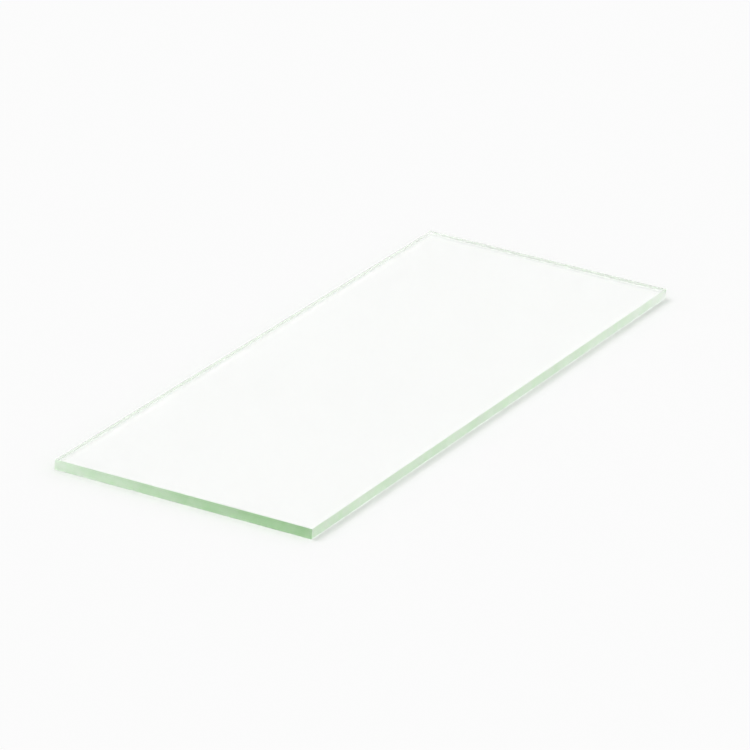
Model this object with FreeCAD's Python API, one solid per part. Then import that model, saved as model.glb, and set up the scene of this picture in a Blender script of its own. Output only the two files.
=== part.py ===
# Plain glass microscope slide with cut edges, one piece of clear soda-lime sheet.
#
# Millimetres. The slide lies flat: +X runs along its length, +Y across its width and +Z up through
# its thickness. The origin is the middle of the underside.
import FreeCAD, Part
import os

from FreeCAD import Vector

NODE = "glass_slide"

# The sheet, cut to the common slide size.
slide_length = 76.0
slide_width = 26.0
slide_thickness = 1.0

# The cutting wheel runs along the underside, so the arris there is crushed and breaks back a little.
# The glass snaps clean at the upper face, and only its sharpest line is lost in handling.
scored_arris = 0.05
snapped_arris = 0.02

# Shell chips out of the scored arris at the -X end, in a row, told off from the +Y long edge.
# Each is (distance from that edge to the chip's middle, length along the arris, depth into it).
end_chips = [
    (8.00, 0.80, 0.14),
    (8.75, 0.55, 0.09),
    (9.40, 0.42, 0.07),
]


def cut_sheet():
    """The flat sheet, with its two faces, four square cut edges and four sharp upright corners."""
    corner = Vector(-slide_length / 2, -slide_width / 2, 0)
    return Part.makeBox(slide_length, slide_width, slide_thickness, corner)


def edges_at_height(shape, height):
    """The edges that lie flat at one height."""
    box_of = [(edge, edge.BoundBox) for edge in shape.Edges]
    near = 1e-6
    return [edge for edge, box in box_of if abs(box.ZMin - height) < near and abs(box.ZMax - height) < near]


def break_arrises(sheet):
    """Bevels the arrises all round, the scored one under the sheet and the snapped one on top."""
    scored = sheet.makeChamfer(scored_arris, edges_at_height(sheet, 0))
    return scored.makeChamfer(snapped_arris, edges_at_height(scored, slide_thickness))


def shell_chip(from_long_edge, chip_length, chip_depth):
    """The ball whose surface leaves one shell chip: a shallow bite at 45 degrees into the arris line.

    The arris line is a chord of the ball as long as the chip, and the ball reaches chip_depth past it.
    """
    ball_radius = (chip_length**2 / 4 + chip_depth**2) / (2 * chip_depth)
    standoff = (ball_radius - chip_depth) / 2**0.5
    middle = Vector(-slide_length / 2 - standoff, slide_width / 2 - from_long_edge, -standoff)
    return Part.makeSphere(ball_radius, middle)


def glass_slide():
    """The whole slide as one solid."""
    slide = break_arrises(cut_sheet())
    for chip in end_chips:
        slide = slide.cut(shell_chip(*chip))
    solid = slide.Solids[0]
    if len(slide.Solids) != 1 or not solid.isValid():
        raise RuntimeError("the slide is not one sound solid")
    return solid


os.makedirs("parts", exist_ok=True)
slide = glass_slide()
slide.exportStep("parts/" + NODE + ".step")

box = slide.optimalBoundingBox(False)
print(NODE, "is", round(box.XLength, 3), "x", round(box.YLength, 3), "x", round(box.ZLength, 3), "mm")
print("volume", round(slide.Volume, 3), "mm3")
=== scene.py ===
# Plain glass microscope slide, lying on a pale studio floor. Metres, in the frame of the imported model.
import math

import bpy
from bpy.props import FloatProperty, FloatVectorProperty, IntProperty, PointerProperty
from mathutils import Matrix, Vector


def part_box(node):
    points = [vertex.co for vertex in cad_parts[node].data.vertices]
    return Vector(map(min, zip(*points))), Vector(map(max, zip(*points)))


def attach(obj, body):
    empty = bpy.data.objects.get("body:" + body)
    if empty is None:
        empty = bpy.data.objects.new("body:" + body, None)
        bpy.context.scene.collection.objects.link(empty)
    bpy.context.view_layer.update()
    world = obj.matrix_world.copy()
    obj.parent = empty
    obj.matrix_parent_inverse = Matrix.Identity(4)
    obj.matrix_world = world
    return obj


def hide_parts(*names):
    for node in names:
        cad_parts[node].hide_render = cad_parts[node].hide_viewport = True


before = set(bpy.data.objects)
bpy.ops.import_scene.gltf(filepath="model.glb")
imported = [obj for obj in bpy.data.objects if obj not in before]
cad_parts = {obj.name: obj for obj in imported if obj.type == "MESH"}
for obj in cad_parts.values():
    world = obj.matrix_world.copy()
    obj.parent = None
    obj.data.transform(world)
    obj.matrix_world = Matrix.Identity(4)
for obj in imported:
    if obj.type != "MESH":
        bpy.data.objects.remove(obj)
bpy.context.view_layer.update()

bl_info = {
    "name": "Microscope slide",
    "version": (1, 0, 0),
    "blender": (4, 5, 0),
    "location": "3D View > Sidebar > Slide",
    "description": "Builds a plain glass microscope slide with cut edges, and a pale stage for it",
    "category": "Object",
}

NODE = "glass_slide"
MM = 0.001
FULL_TURN = 2 * math.pi
WHITE = (1.0, 1.0, 1.0)

SLIDE_LOW, SLIDE_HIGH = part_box(NODE)
SLIDE_SIZE = SLIDE_HIGH - SLIDE_LOW

# Shell chips in the scored arris at the -X end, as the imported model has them. Each is the distance from
# the +Y long edge to the chip's middle, the chip's length along the arris, and its depth into it.
END_CHIPS = (
    (8.00 * MM, 0.80 * MM, 0.14 * MM),
    (8.75 * MM, 0.55 * MM, 0.09 * MM),
    (9.40 * MM, 0.42 * MM, 0.07 * MM),
)

# Grain of each noise on the cut edges: its features to a metre, and its octaves of finer detail.
CRUSH_GRAIN = (2600.0, 3.0)
HACKLE_GRAIN = (6500.0, 2.0)
RIPPLE_GRAIN = (160.0, 2.0)
WANDER_GRAIN = (60.0, 1.0)
FROST_GRAIN = (700.0, 3.0)
FINISH_GRAIN = (2500.0, 3.0)
PIT_GRAIN = (24000.0, 2.0)
MOTTLE_GRAIN = (600.0, 5.0)

# Mesh of a cut edge: how much its rows crowd to the arrises, from 0 to 1, the length over which its relief
# dies out before a corner, and the step through the noises from one seed to the next.
ROW_CROWDING = 0.86
CORNER_FADE = 0.7 * MM
SEED_STEP = 0.137

# How much the width of the crushed arris comes and goes, as a share of it.
CRUSH_VARIATION = 1.5

# Hackle: how slowly it changes up the edge against along it, the height over which it falls to a third,
# and the gain of its crests.
HACKLE_UPRIGHT = 0.15
HACKLE_REACH = 0.16 * MM
HACKLE_GAIN = 3.0

# Ripples: from one to the next, how far they bow along the edge, the height that they bow about, as a
# share of the thickness, and the gain of the noise that spreads their patches.
RIPPLE_LENGTH = 1.1 * MM
RIPPLE_BOW = 1.6 * MM
BOW_MIDDLE = 0.4
RIPPLE_SPREAD = 1.6

# Upper line of the frosted band, as shares of the band's height: its lowest, how far it can rise from
# there, and where the blend to satin starts and ends.
FROST_LOWEST = 0.4
FROST_RISE = 1.2
FROST_BLEND = (0.6, 1.4)

# How the finish changes from spot to spot: the least share of its roughness, the range above that share,
# and the strength and depth of its fine pits.
FINISH_LOWEST = 0.85
FINISH_RANGE = 0.3
PIT_STRENGTH = 0.3
PIT_DEPTH = 0.004 * MM

# What the mesh keeps for the glass: the cut edges' roughness, and the depth of glass behind them.
FROST_LAYER = "frost"
DEPTH_LAYER = "depth"

GLASS_IOR = 1.52

# The medium's density as a multiple of its strongest absorption: over 1, so that no channel of its colour
# comes out as 0.
DENSITY_MARGIN = 1.05

# Points nearer than this become one, and folds sharper than this stay crisp.
WELD = 0.0002 * MM
CREASE = math.radians(32)

# The floor reaches this far each way, and lies this far under the slide.
FLOOR_REACH = 3.0
FLOOR_GAP = 0.04 * MM

SENSOR_WIDTH = 36.0 * MM

# Light can run the length of the sheet many times before it comes out.
LIGHT_BOUNCES = 128


class SlideSettings(bpy.types.PropertyGroup):
    """Sizes and colours of the glass."""

    length: FloatProperty(
        name="Length", description="Length of the slide", default=SLIDE_SIZE.x, unit="LENGTH"
    )
    width: FloatProperty(
        name="Width", description="Width of the slide", default=SLIDE_SIZE.y, unit="LENGTH"
    )
    thickness: FloatProperty(
        name="Thickness", description="Thickness of the sheet", default=SLIDE_SIZE.z, unit="LENGTH"
    )
    scored_arris: FloatProperty(
        name="Scored arris", description="How far the arris under the slide is crushed back",
        default=0.05 * MM, unit="LENGTH",
    )
    snapped_arris: FloatProperty(
        name="Snapped arris", description="How far the arris on top of the slide is worn back",
        default=0.02 * MM, unit="LENGTH",
    )
    hackle_depth: FloatProperty(
        name="Hackle depth", description="Depth of the fine ridges that rise from the scored arris",
        default=0.012 * MM, unit="LENGTH",
    )
    ripple_depth: FloatProperty(
        name="Ripple depth", description="Depth of the curved ripples that the crack leaves",
        default=0.006 * MM, unit="LENGTH",
    )
    wander_depth: FloatProperty(
        name="Wander depth", description="How far the cut strays from a straight line",
        default=0.03 * MM, unit="LENGTH",
    )
    frost_chipped_end: FloatProperty(
        name="Frost, chipped end", description="Height of the frosted band on the -X end",
        default=0.36 * MM, unit="LENGTH",
    )
    frost_plain_end: FloatProperty(
        name="Frost, plain end", description="Height of the frosted band on the +X end",
        default=0.7 * MM, unit="LENGTH",
    )
    frost_left: FloatProperty(
        name="Frost, left",
        description="Height of the frosted band on the +Y long edge: more than the thickness covers it",
        default=1.4 * MM, unit="LENGTH",
    )
    frost_right: FloatProperty(
        name="Frost, right", description="Height of the frosted band on the -Y long edge",
        default=0.08 * MM, unit="LENGTH",
    )
    satin: FloatProperty(
        name="Satin", description="Roughness of the cut edges above their frosted band",
        default=0.36, min=0.0, max=1.0, subtype="FACTOR",
    )
    column: FloatProperty(
        name="Column", description="Width of one mesh column along a cut edge",
        default=0.1 * MM, unit="LENGTH",
    )
    rows: IntProperty(
        name="Rows", description="Rows of mesh points up a cut edge", default=26, min=6
    )
    seed: IntProperty(
        name="Seed", description="Number that the cut edges' relief starts from", default=4
    )
    absorbed: FloatVectorProperty(
        name="Absorbed", description="How strongly the glass takes out red, green and blue, to a metre",
        default=(11.3, 6.5, 12.5), size=3,
    )
    edge_tint: FloatVectorProperty(
        name="Edge tint", description="Tint of a cut edge that has the tint depth of glass behind it",
        subtype="COLOR", default=(0.664, 0.881, 0.629), size=3,
    )
    tint_depth: FloatProperty(
        name="Tint depth", description="Depth of glass that gives a cut edge the whole edge tint",
        default=1.4 * SLIDE_SIZE.x, unit="LENGTH",
    )
    mottle: FloatProperty(
        name="Mottle", description="How much the tint of the cut edges changes from spot to spot",
        default=1.7, min=0.0,
    )


class StageSettings(bpy.types.PropertyGroup):
    """Floor, light and camera."""

    floor_colour: FloatVectorProperty(
        name="Floor", description="Colour of the floor and the backdrop", subtype="COLOR",
        default=(0.97, 0.97, 0.97), size=3,
    )
    sky_share: FloatProperty(
        name="Sky", description="Share of the floor's light that comes evenly from all round",
        default=0.72, subtype="FACTOR",
    )
    lamp_height: FloatProperty(
        name="Lamp height", description="Angle of the soft lamp above the floor",
        default=math.radians(56), subtype="ANGLE",
    )
    lamp_side: FloatProperty(
        name="Lamp side", description="Side that the soft lamp shines from, from +X towards +Y",
        default=math.radians(100), subtype="ANGLE",
    )
    lamp_spread: FloatProperty(
        name="Lamp spread", description="How wide the soft lamp looks from the slide",
        default=math.radians(36), subtype="ANGLE",
    )
    view_azimuth: FloatProperty(
        name="Azimuth", description="Side that the camera looks from, from +X towards +Y",
        default=math.radians(-154.96), subtype="ANGLE",
    )
    view_elevation: FloatProperty(
        name="Elevation", description="Camera's height above the slide's face, as an angle",
        default=math.radians(21.18), subtype="ANGLE",
    )
    view_roll: FloatProperty(
        name="Roll", description="Camera's turn about its own line of sight",
        default=math.radians(4.94), subtype="ANGLE",
    )
    view_distance: FloatProperty(
        name="Distance", description="From the camera to the slide's middle",
        default=0.56, unit="LENGTH",
    )
    lens: FloatProperty(
        name="Lens", description="Focal length of the camera", default=0.2859, unit="LENGTH"
    )


class Wiring:
    """Adds nodes to one tree and joins them, so that a formula can be written as one."""

    node_spacing = 190

    def __init__(self, tree):
        self.tree = tree

    def add(self, kind, inputs=None, **settings):
        """A new node. Its settings come before its inputs, because some of them change which it has."""
        node = self.tree.nodes.new(kind)
        node.location = (self.node_spacing * len(self.tree.nodes), 0)
        for name, value in settings.items():
            setattr(node, name, value)
        for name, value in (inputs or {}).items():
            self.feed(node.inputs[name], value)
        return node

    def result(self, kind, inputs=None, **settings):
        """The first output of a new node."""
        return self.add(kind, inputs, **settings).outputs[0]

    def feed(self, socket, value):
        """Joins a socket to another node's output, or gives it a plain value."""
        if isinstance(value, bpy.types.NodeSocket):
            self.tree.links.new(value, socket)
        else:
            socket.default_value = value

    def math(self, operation, *values, clamp=False):
        node = self.add("ShaderNodeMath", operation=operation, use_clamp=clamp)
        for socket, value in zip(node.inputs, values):
            self.feed(socket, value)
        return node.outputs[0]

    def chain(self, operation, first, *others):
        """One operation over all the values, two at a time from the left."""
        for other in others:
            first = self.math(operation, first, other)
        return first

    def total(self, *values):
        return self.chain("ADD", *values)

    def product(self, *values):
        return self.chain("MULTIPLY", *values)

    def greatest(self, *values):
        return self.chain("MAXIMUM", *values)

    def difference(self, value, taken):
        return self.math("SUBTRACT", value, taken)

    def ratio(self, value, whole):
        return self.math("DIVIDE", value, whole)

    def excess(self, value, limit):
        """How far a value is over its limit, and 0 where it isn't."""
        return self.greatest(self.difference(value, limit), 0.0)

    def scaled(self, value, factor, start):
        """The start, plus the value times the factor."""
        return self.math("MULTIPLY_ADD", value, factor, start)

    def vector(self, x, y, z=0.0):
        return self.result("ShaderNodeCombineXYZ", {"X": x, "Y": y, "Z": z})

    def position(self):
        """X, Y and Z of each point, where it is when the mesh reaches the node that asks."""
        return self.add("ShaderNodeSeparateXYZ", {0: self.result("GeometryNodeInputPosition")}).outputs

    def layer(self, name):
        """A number that the mesh keeps under this name."""
        return self.add("ShaderNodeAttribute", attribute_name=name).outputs["Fac"]

    def ease(self, value, start, end, low=0.0, high=1.0):
        """Goes smoothly from low to high as the value goes from start to end."""
        inputs = {"Value": value, "From Min": start, "From Max": end, "To Min": low, "To Max": high}
        return self.result("ShaderNodeMapRange", inputs, interpolation_type="SMOOTHSTEP")

    def mix(self, share, start, end):
        """The colour that is start where share is 0, and end where it is 1."""
        node = self.add("ShaderNodeMix", data_type="RGBA")
        used = [socket for socket in node.inputs if socket.enabled]
        for socket, value in zip(used, (share, (*start, 1.0), (*end, 1.0))):
            self.feed(socket, value)
        return next(socket for socket in node.outputs if socket.enabled)

    def noise(self, place, grain):
        """Noise about a half."""
        scale, detail = grain
        inputs = {"Vector": place, "Scale": scale, "Detail": detail}
        return self.result("ShaderNodeTexNoise", inputs, noise_dimensions="3D")


# Kinds of node input: the type of socket, and its subtype.
LENGTH = ("NodeSocketFloat", "DISTANCE")
SHARE = ("NodeSocketFloat", "FACTOR")
COUNT = ("NodeSocketInt", "NONE")

# Inputs that the whole sheet and each of its cut edges have alike: name, kind and setting.
EDGE_INPUTS = (
    ("Thickness", LENGTH, "thickness"),
    ("Scored arris", LENGTH, "scored_arris"),
    ("Snapped arris", LENGTH, "snapped_arris"),
    ("Hackle depth", LENGTH, "hackle_depth"),
    ("Ripple depth", LENGTH, "ripple_depth"),
    ("Wander depth", LENGTH, "wander_depth"),
    ("Satin", SHARE, "satin"),
    ("Column", LENGTH, "column"),
    ("Rows", COUNT, "rows"),
    ("Seed", COUNT, "seed"),
)

SHEET_INPUTS = (
    ("Length", LENGTH, "length"),
    ("Width", LENGTH, "width"),
    ("Frost right", LENGTH, "frost_right"),
    ("Frost plain end", LENGTH, "frost_plain_end"),
    ("Frost left", LENGTH, "frost_left"),
    ("Frost chipped end", LENGTH, "frost_chipped_end"),
    *EDGE_INPUTS,
)


def add_input(tree, name, kind, default):
    socket_type, subtype = kind
    socket = tree.interface.new_socket(name=name, in_out="INPUT", socket_type=socket_type)
    socket.subtype = subtype
    socket.default_value = default


def new_tree(name, sizes, inputs):
    """A node tree that gives a mesh, with these inputs set as the settings are."""
    tree = bpy.data.node_groups.new(name, "GeometryNodeTree")
    for label, kind, setting in inputs:
        add_input(tree, label, kind, getattr(sizes, setting))
    tree.interface.new_socket(name="Mesh", in_out="OUTPUT", socket_type="NodeSocketGeometry")
    return tree


def chip_inset(wiring, along, height, chip):
    """How far one chip's ball bites into the cut edge at each point: nothing outside the ball."""
    middle, chip_length, depth = chip
    radius = (chip_length**2 / 4 + depth**2) / (2 * depth)
    standoff = (radius - depth) / math.sqrt(2)
    aside = wiring.difference(along, middle)
    above = wiring.total(height, standoff)
    from_middle = wiring.total(wiring.product(aside, aside), wiring.product(above, above))
    reach = wiring.math("SQRT", wiring.excess(radius**2, from_middle))
    return wiring.excess(reach, standoff)


def crack_relief(wiring, given, along, height, seed_shift):
    """How far the crack's surface lies back from its foremost line."""
    # Hackle: sharp fine ridges at the score, dying out up the edge.
    drawn_up = wiring.vector(along, seed_shift, wiring.product(height, HACKLE_UPRIGHT))
    ridges = wiring.math("ABSOLUTE", wiring.difference(wiring.noise(drawn_up, HACKLE_GRAIN), 0.5))
    dying = wiring.math("EXPONENT", wiring.product(height, -1 / HACKLE_REACH))
    hackle = wiring.product(ridges, HACKLE_GAIN, dying, given["Hackle depth"])

    # Ripples that the running crack leaves, bowed forward in the middle of the sheet, in patches.
    from_middle = wiring.difference(wiring.ratio(height, given["Thickness"]), BOW_MIDDLE)
    bow = wiring.product(from_middle, from_middle, RIPPLE_BOW)
    phase = wiring.product(wiring.total(along, bow), FULL_TURN / RIPPLE_LENGTH)
    wave = wiring.scaled(wiring.math("SINE", phase), 0.5, 0.5)
    spot = wiring.vector(along, seed_shift, height)
    patches = wiring.math("MULTIPLY", wiring.noise(spot, RIPPLE_GRAIN), RIPPLE_SPREAD, clamp=True)
    ripple = wiring.product(wave, patches, given["Ripple depth"])

    line = wiring.vector(along, seed_shift)
    wander = wiring.product(wiring.noise(line, WANDER_GRAIN), given["Wander depth"])
    return wiring.total(hackle, ripple, wander)


def edge_finish(wiring, given, along, height, seed_shift):
    """Roughness: frosted up to an uneven line above the score, and satin from there on."""
    spot = wiring.vector(along, seed_shift, height)
    line = wiring.scaled(wiring.noise(spot, FROST_GRAIN), FROST_RISE, FROST_LOWEST)
    band = wiring.product(given["Frost"], line)
    start, end = (wiring.product(band, share) for share in FROST_BLEND)
    return wiring.ease(height, start, end, low=1.0, high=given["Satin"])


def cut_edge_tree(sizes, chips):
    """Node group of one cut edge, facing -Y: a fine grid bent to the arrises, with the crack's relief."""
    tree = new_tree("Cut edge with chips" if chips else "Cut edge", sizes, EDGE_INPUTS)
    add_input(tree, "Side", LENGTH, sizes.length)
    add_input(tree, "Reach", LENGTH, sizes.width / 2)
    add_input(tree, "Frost", LENGTH, sizes.frost_chipped_end)
    wiring = Wiring(tree)
    given = wiring.add("NodeGroupInput").outputs
    side, reach, thickness = given["Side"], given["Reach"], given["Thickness"]

    columns = wiring.total(wiring.math("CEIL", wiring.ratio(side, given["Column"])), 1.0)
    grid_inputs = {"Size X": side, "Size Y": 1.0, "Vertices X": columns, "Vertices Y": given["Rows"]}
    mesh = wiring.result("GeometryNodeMeshGrid", grid_inputs)
    place = wiring.position()
    along = place["X"]

    # Rows crowd towards both arrises, where the shape changes fastest.
    share = wiring.total(place["Y"], 0.5)
    turn = wiring.math("SINE", wiring.product(share, FULL_TURN))
    crowded = wiring.difference(share, wiring.product(turn, ROW_CROWDING / FULL_TURN))
    height = wiring.product(thickness, crowded)

    half_side = wiring.product(side, 0.5)
    to_corner = wiring.difference(half_side, wiring.math("ABSOLUTE", along))
    corner_fade = wiring.ease(to_corner, 0.0, CORNER_FADE)
    seed_shift = wiring.product(given["Seed"], SEED_STEP)

    # The crushed arris under the slide: a bevel whose width comes and goes.
    scored = given["Scored arris"]
    uneven = wiring.difference(wiring.noise(wiring.vector(along, seed_shift), CRUSH_GRAIN), 0.5)
    variation = wiring.product(uneven, CRUSH_VARIATION)
    crushed = wiring.product(scored, wiring.scaled(variation, corner_fade, 1.0))
    low_bevel = wiring.excess(crushed, height)
    high_bevel = wiring.excess(given["Snapped arris"], wiring.difference(thickness, height))

    relief = wiring.product(crack_relief(wiring, given, along, height, seed_shift), corner_fade)
    bevelled = wiring.total(wiring.greatest(low_bevel, high_bevel), relief)
    bites = [chip_inset(wiring, along, height, chip) for chip in chips]
    inset = wiring.greatest(bevelled, 0.0, *bites)

    # Both edges that meet at a corner draw in by the same even bevel, so their end columns fall together.
    corner_inset = wiring.greatest(wiring.excess(scored, height), high_bevel)
    mitre = wiring.difference(1.0, wiring.ratio(corner_inset, half_side))
    bent = wiring.vector(wiring.product(along, mitre), wiring.difference(inset, reach), height)

    # Both layers are stored before the bend, which moves the points that the height is worked out from.
    layers = (
        (FROST_LAYER, edge_finish(wiring, given, along, height, seed_shift)),
        (DEPTH_LAYER, wiring.product(reach, 2.0)),
    )
    for name, value in layers:
        inputs = {"Geometry": mesh, "Name": name, "Value": value}
        mesh = wiring.result("GeometryNodeStoreNamedAttribute", inputs, data_type="FLOAT", domain="CORNER")
    mesh = wiring.result("GeometryNodeSetPosition", {"Geometry": mesh, "Position": bent})
    wiring.add("NodeGroupOutput", {"Mesh": mesh})
    return tree


def welded(wiring, meshes):
    """The meshes as one, with the points that fall together merged."""
    joined = wiring.add("GeometryNodeJoinGeometry")
    for mesh in meshes:
        wiring.feed(joined.inputs[0], mesh)
    return wiring.result("GeometryNodeMergeByDistance", {"Geometry": joined.outputs[0], "Distance": WELD})


def shaded(wiring, mesh, smooth, where=True, domain="FACE"):
    """The mesh with its faces, or its edges, shaded smooth or not."""
    inputs = {"Geometry": mesh, "Selection": where, "Shade Smooth": smooth}
    return wiring.result("GeometryNodeSetShadeSmooth", inputs, domain=domain)


def glass_face(wiring, edges, at_top, thickness):
    """One flat face of the sheet, filled between the cut edges' outer row."""
    comparison = "GREATER_THAN" if at_top else "LESS_THAN"
    this_side = wiring.math(comparison, wiring.position()["Z"], wiring.product(thickness, 0.5))
    faces_beside = wiring.result("GeometryNodeInputMeshEdgeNeighbors")
    open_edge = wiring.math("LESS_THAN", faces_beside, 2.0)
    rim_inputs = {"Mesh": edges, "Selection": wiring.product(this_side, open_edge)}
    rim = wiring.result("GeometryNodeMeshToCurve", rim_inputs)
    face = wiring.result("GeometryNodeFillCurve", {"Curve": rim}, mode="NGONS")
    if at_top:
        lift = wiring.vector(0.0, 0.0, thickness)
        face = wiring.result("GeometryNodeSetPosition", {"Geometry": face, "Offset": lift})
    else:
        face = wiring.result("GeometryNodeFlipFaces", {"Mesh": face})
    return shaded(wiring, face, False)


def cut_sheet_tree(sizes, chips, glass):
    """Node tree of the whole slide: four cut edges round two flat faces, as one closed mesh."""
    tree = new_tree("Cut glass sheet", sizes, SHEET_INPUTS)
    tree.is_modifier = True
    wiring = Wiring(tree)
    given = wiring.add("NodeGroupInput").outputs
    plain, chipped = cut_edge_tree(sizes, ()), cut_edge_tree(sizes, chips)

    # The cut edges from -Y on, each a quarter turn further round.
    long_edge = {"Side": given["Length"], "Reach": wiring.product(given["Width"], 0.5)}
    end = {"Side": given["Width"], "Reach": wiring.product(given["Length"], 0.5)}
    quarters = (
        (plain, long_edge, "Frost right"),
        (plain, end, "Frost plain end"),
        (plain, long_edge, "Frost left"),
        (chipped, end, "Frost chipped end"),
    )
    alike = {name: given[name] for name, _, _ in EDGE_INPUTS}
    turned = []
    for quarter, (group, extent, frost) in enumerate(quarters):
        seed = wiring.total(given["Seed"], float(quarter))
        inputs = {**alike, **extent, "Frost": given[frost], "Seed": seed}
        edge = wiring.result("GeometryNodeGroup", inputs, node_tree=group)
        turn = (0.0, 0.0, quarter * FULL_TURN / 4)
        turned.append(wiring.result("GeometryNodeTransform", {"Geometry": edge, "Rotation": turn}))

    edges = welded(wiring, turned)
    faces = [glass_face(wiring, edges, at_top, given["Thickness"]) for at_top in (False, True)]
    sheet = welded(wiring, [shaded(wiring, edges, True), *faces])

    # Arrises and the rims of the chips stay crisp.
    bend = wiring.add("GeometryNodeInputMeshEdgeAngle").outputs["Unsigned Angle"]
    sheet = shaded(wiring, sheet, False, wiring.math("GREATER_THAN", bend, CREASE), domain="EDGE")
    sheet = wiring.result("GeometryNodeRealizeInstances", {"Geometry": sheet})
    sheet = wiring.result("GeometryNodeSetMaterial", {"Geometry": sheet, "Material": glass})
    wiring.add("NodeGroupOutput", {"Mesh": sheet})
    return tree


def bare_nodes(owner):
    """Wiring for a material or a world, with none of its default nodes."""
    owner.use_nodes = True
    owner.node_tree.nodes.clear()
    return Wiring(owner.node_tree)


def cut_glass(sizes):
    """Soda-lime glass: clear faces, satin cut edges that are rougher where broken, and green at depth."""
    glass = bpy.data.materials.new("cut_glass")
    wiring = bare_nodes(glass)
    place = wiring.add("ShaderNodeTexCoord").outputs["Object"]

    frost = wiring.layer(FROST_LAYER)
    unevenness = wiring.scaled(wiring.noise(place, FINISH_GRAIN), FINISH_RANGE, FINISH_LOWEST)
    pits = {
        "Strength": wiring.product(frost, PIT_STRENGTH),
        "Distance": PIT_DEPTH,
        "Height": wiring.noise(place, PIT_GRAIN),
    }

    # A cut edge is tinted from outside, by the depth of glass behind it. Inside, the medium does the rest.
    outside = wiring.difference(1.0, wiring.add("ShaderNodeNewGeometry").outputs["Backfacing"])
    depth = wiring.layer(DEPTH_LAYER)
    on_edge = wiring.math("GREATER_THAN", depth, 0.0)
    mottle = wiring.scaled(wiring.noise(place, MOTTLE_GRAIN), sizes.mottle, -sizes.mottle / 2)
    tint = wiring.total(wiring.ratio(depth, sizes.tint_depth), mottle)
    surface_inputs = {
        "Base Color": wiring.mix(wiring.product(tint, on_edge, outside), WHITE, sizes.edge_tint),
        "Roughness": wiring.product(frost, unevenness),
        "IOR": GLASS_IOR,
        "Transmission Weight": 1.0,
        "Normal": wiring.result("ShaderNodeBump", pits),
    }
    surface = wiring.result("ShaderNodeBsdfPrincipled", surface_inputs)

    # The medium takes out (1 - kept) * density of each light per metre.
    density = DENSITY_MARGIN * max(sizes.absorbed)
    kept = [1 - amount / density for amount in sizes.absorbed]
    medium = wiring.result("ShaderNodeVolumeAbsorption", {"Color": (*kept, 1.0), "Density": density})
    wiring.add("ShaderNodeOutputMaterial", {"Surface": surface, "Volume": medium})
    return glass


def mesh_from_tree(context, tree, sizes):
    """The plain mesh that the sheet's node tree makes of the settings."""
    blank = bpy.data.meshes.new("blank")
    maker = bpy.data.objects.new("maker", blank)
    context.scene.collection.objects.link(maker)
    modifier = maker.modifiers.new("maker", "NODES")
    modifier.node_group = tree
    settings = {name: setting for name, _, setting in SHEET_INPUTS}
    for item in tree.interface.items_tree:
        if item.item_type == "SOCKET" and item.in_out == "INPUT":
            modifier[item.identifier] = getattr(sizes, settings[item.name])
    mesh = bpy.data.meshes.new_from_object(maker.evaluated_get(context.evaluated_depsgraph_get()))
    bpy.data.objects.remove(maker)
    bpy.data.meshes.remove(blank)
    return mesh


class SLIDE_OT_glass_sheet(bpy.types.Operator):
    """Build the glass sheet with its four cut edges"""

    bl_idname = "slide.glass_sheet"
    bl_label = "Glass sheet"

    def execute(self, context):
        sizes = context.scene.slide_settings
        # The -X end's own length runs from the +Y long edge, with 0 at its middle.
        chips = [
            (from_edge - sizes.width / 2, chip_length, depth)
            for from_edge, chip_length, depth in END_CHIPS
        ]
        tree = cut_sheet_tree(sizes, chips, cut_glass(sizes))
        mesh = mesh_from_tree(context, tree, sizes)
        if not mesh.polygons:
            raise RuntimeError("the glass sheet came out empty")
        # The tree leaves a slot with no material before the glass.
        while mesh.materials[0] is None:
            mesh.materials.pop(index=0)
        mesh.name = "slide_glass"
        slide = bpy.data.objects.new("slide_glass", mesh)
        context.scene.collection.objects.link(slide)
        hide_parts(NODE)
        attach(slide, "root")
        return {"FINISHED"}


def direction(azimuth, elevation):
    """Which way a side lies, from +X towards +Y, and at what height."""
    level = math.cos(elevation)
    return Vector((level * math.cos(azimuth), level * math.sin(azimuth), math.sin(elevation)))


def pale_floor(look):
    """A matt floor, a little under the slide so that the two don't touch."""
    finish = bpy.data.materials.new("floor_matt")
    wiring = bare_nodes(finish)
    matt = wiring.result("ShaderNodeBsdfDiffuse", {"Color": (*look.floor_colour, 1.0)})
    wiring.add("ShaderNodeOutputMaterial", {"Surface": matt})

    height = SLIDE_LOW.z - FLOOR_GAP
    sides = ((-1, -1), (1, -1), (1, 1), (-1, 1))
    corners = [(x * FLOOR_REACH, y * FLOOR_REACH, height) for x, y in sides]
    mesh = bpy.data.meshes.new("floor")
    mesh.from_pydata(corners, [], [(0, 1, 2, 3)])
    mesh.materials.append(finish)
    return bpy.data.objects.new("floor", mesh)


def pale_sky(look):
    """Even light from all round. What looks straight at it, or by way of the glass, sees the backdrop."""
    world = bpy.data.worlds.new("sky")
    wiring = bare_nodes(world)
    after_matt = wiring.math("MINIMUM", wiring.add("ShaderNodeLightPath").outputs["Diffuse Depth"], 1.0)
    shown = wiring.mix(after_matt, look.floor_colour, (look.sky_share,) * 3)
    sky = wiring.result("ShaderNodeBackground", {"Color": shown, "Strength": 1.0})
    wiring.add("ShaderNodeOutputWorld", {"Surface": sky})
    return world


def soft_lamp(look):
    """A wide far lamp that, with the sky, lights the floor so that its colour shows as it is written."""
    lamp = bpy.data.lights.new("soft_lamp", "SUN")
    lamp.angle = look.lamp_spread
    lamp.energy = math.pi * (1 - look.sky_share) / math.sin(look.lamp_height)
    holder = bpy.data.objects.new("soft_lamp", lamp)
    towards = direction(look.lamp_side, look.lamp_height)
    holder.rotation_euler = towards.to_track_quat("Z", "Y").to_euler()
    return holder


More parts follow.
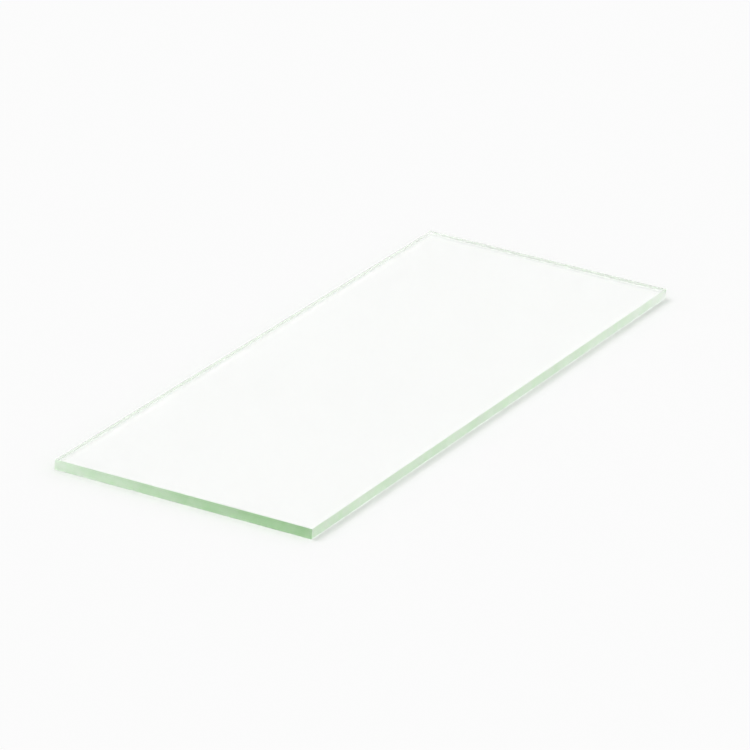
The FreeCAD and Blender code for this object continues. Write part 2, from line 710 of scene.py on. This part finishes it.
def studio_camera(look):
    """A camera that looks at the slide's middle."""
    camera = bpy.data.cameras.new("camera")
    camera.sensor_width = SENSOR_WIDTH / MM
    camera.lens = look.lens / MM
    holder = bpy.data.objects.new("camera", camera)
    outward = direction(look.view_azimuth, look.view_elevation)
    holder.location = (SLIDE_LOW + SLIDE_HIGH) / 2 + outward * look.view_distance
    facing = (-outward).to_track_quat("-Z", "Y").to_matrix()
    holder.rotation_euler = (facing @ Matrix.Rotation(look.view_roll, 3, "Z")).to_euler()
    return holder


class SLIDE_OT_stage(bpy.types.Operator):
    """Lay the floor and set the light and the camera"""

    bl_idname = "slide.stage"
    bl_label = "Stage"

    def execute(self, context):
        scene, look = context.scene, context.scene.stage_settings
        floor = pale_floor(look)
        scene.collection.objects.link(floor)

        scene.world = pale_sky(look)
        scene.collection.objects.link(soft_lamp(look))
        scene.camera = studio_camera(look)
        scene.collection.objects.link(scene.camera)

        scene.view_settings.view_transform = "Standard"
        scene.cycles.max_bounces = LIGHT_BOUNCES
        scene.cycles.glossy_bounces = LIGHT_BOUNCES
        scene.cycles.transmission_bounces = LIGHT_BOUNCES
        # Any blur would roughen the clear faces for light that has come through a rough edge.
        scene.cycles.blur_glossy = 0.0
        return {"FINISHED"}


class VIEW3D_PT_slide(bpy.types.Panel):
    """Sidebar panel that lists the pieces"""

    bl_label = "Microscope slide"
    bl_space_type = "VIEW_3D"
    bl_region_type = "UI"
    bl_category = "Slide"

    def draw(self, context):
        for settings in (context.scene.slide_settings, context.scene.stage_settings):
            box = self.layout.box()
            for name in settings.__annotations__:
                box.prop(settings, name)
        self.layout.operator(SLIDE_OT_glass_sheet.bl_idname)
        self.layout.operator(SLIDE_OT_stage.bl_idname)


CLASSES = (SlideSettings, StageSettings, SLIDE_OT_glass_sheet, SLIDE_OT_stage, VIEW3D_PT_slide)


def register():
    for kind in CLASSES:
        bpy.utils.register_class(kind)
    bpy.types.Scene.slide_settings = PointerProperty(type=SlideSettings)
    bpy.types.Scene.stage_settings = PointerProperty(type=StageSettings)


def unregister():
    del bpy.types.Scene.stage_settings
    del bpy.types.Scene.slide_settings
    for kind in reversed(CLASSES):
        bpy.utils.unregister_class(kind)


def main():
    register()
    bpy.ops.slide.glass_sheet()
    bpy.ops.slide.stage()


if __name__ == "__main__":
    main()
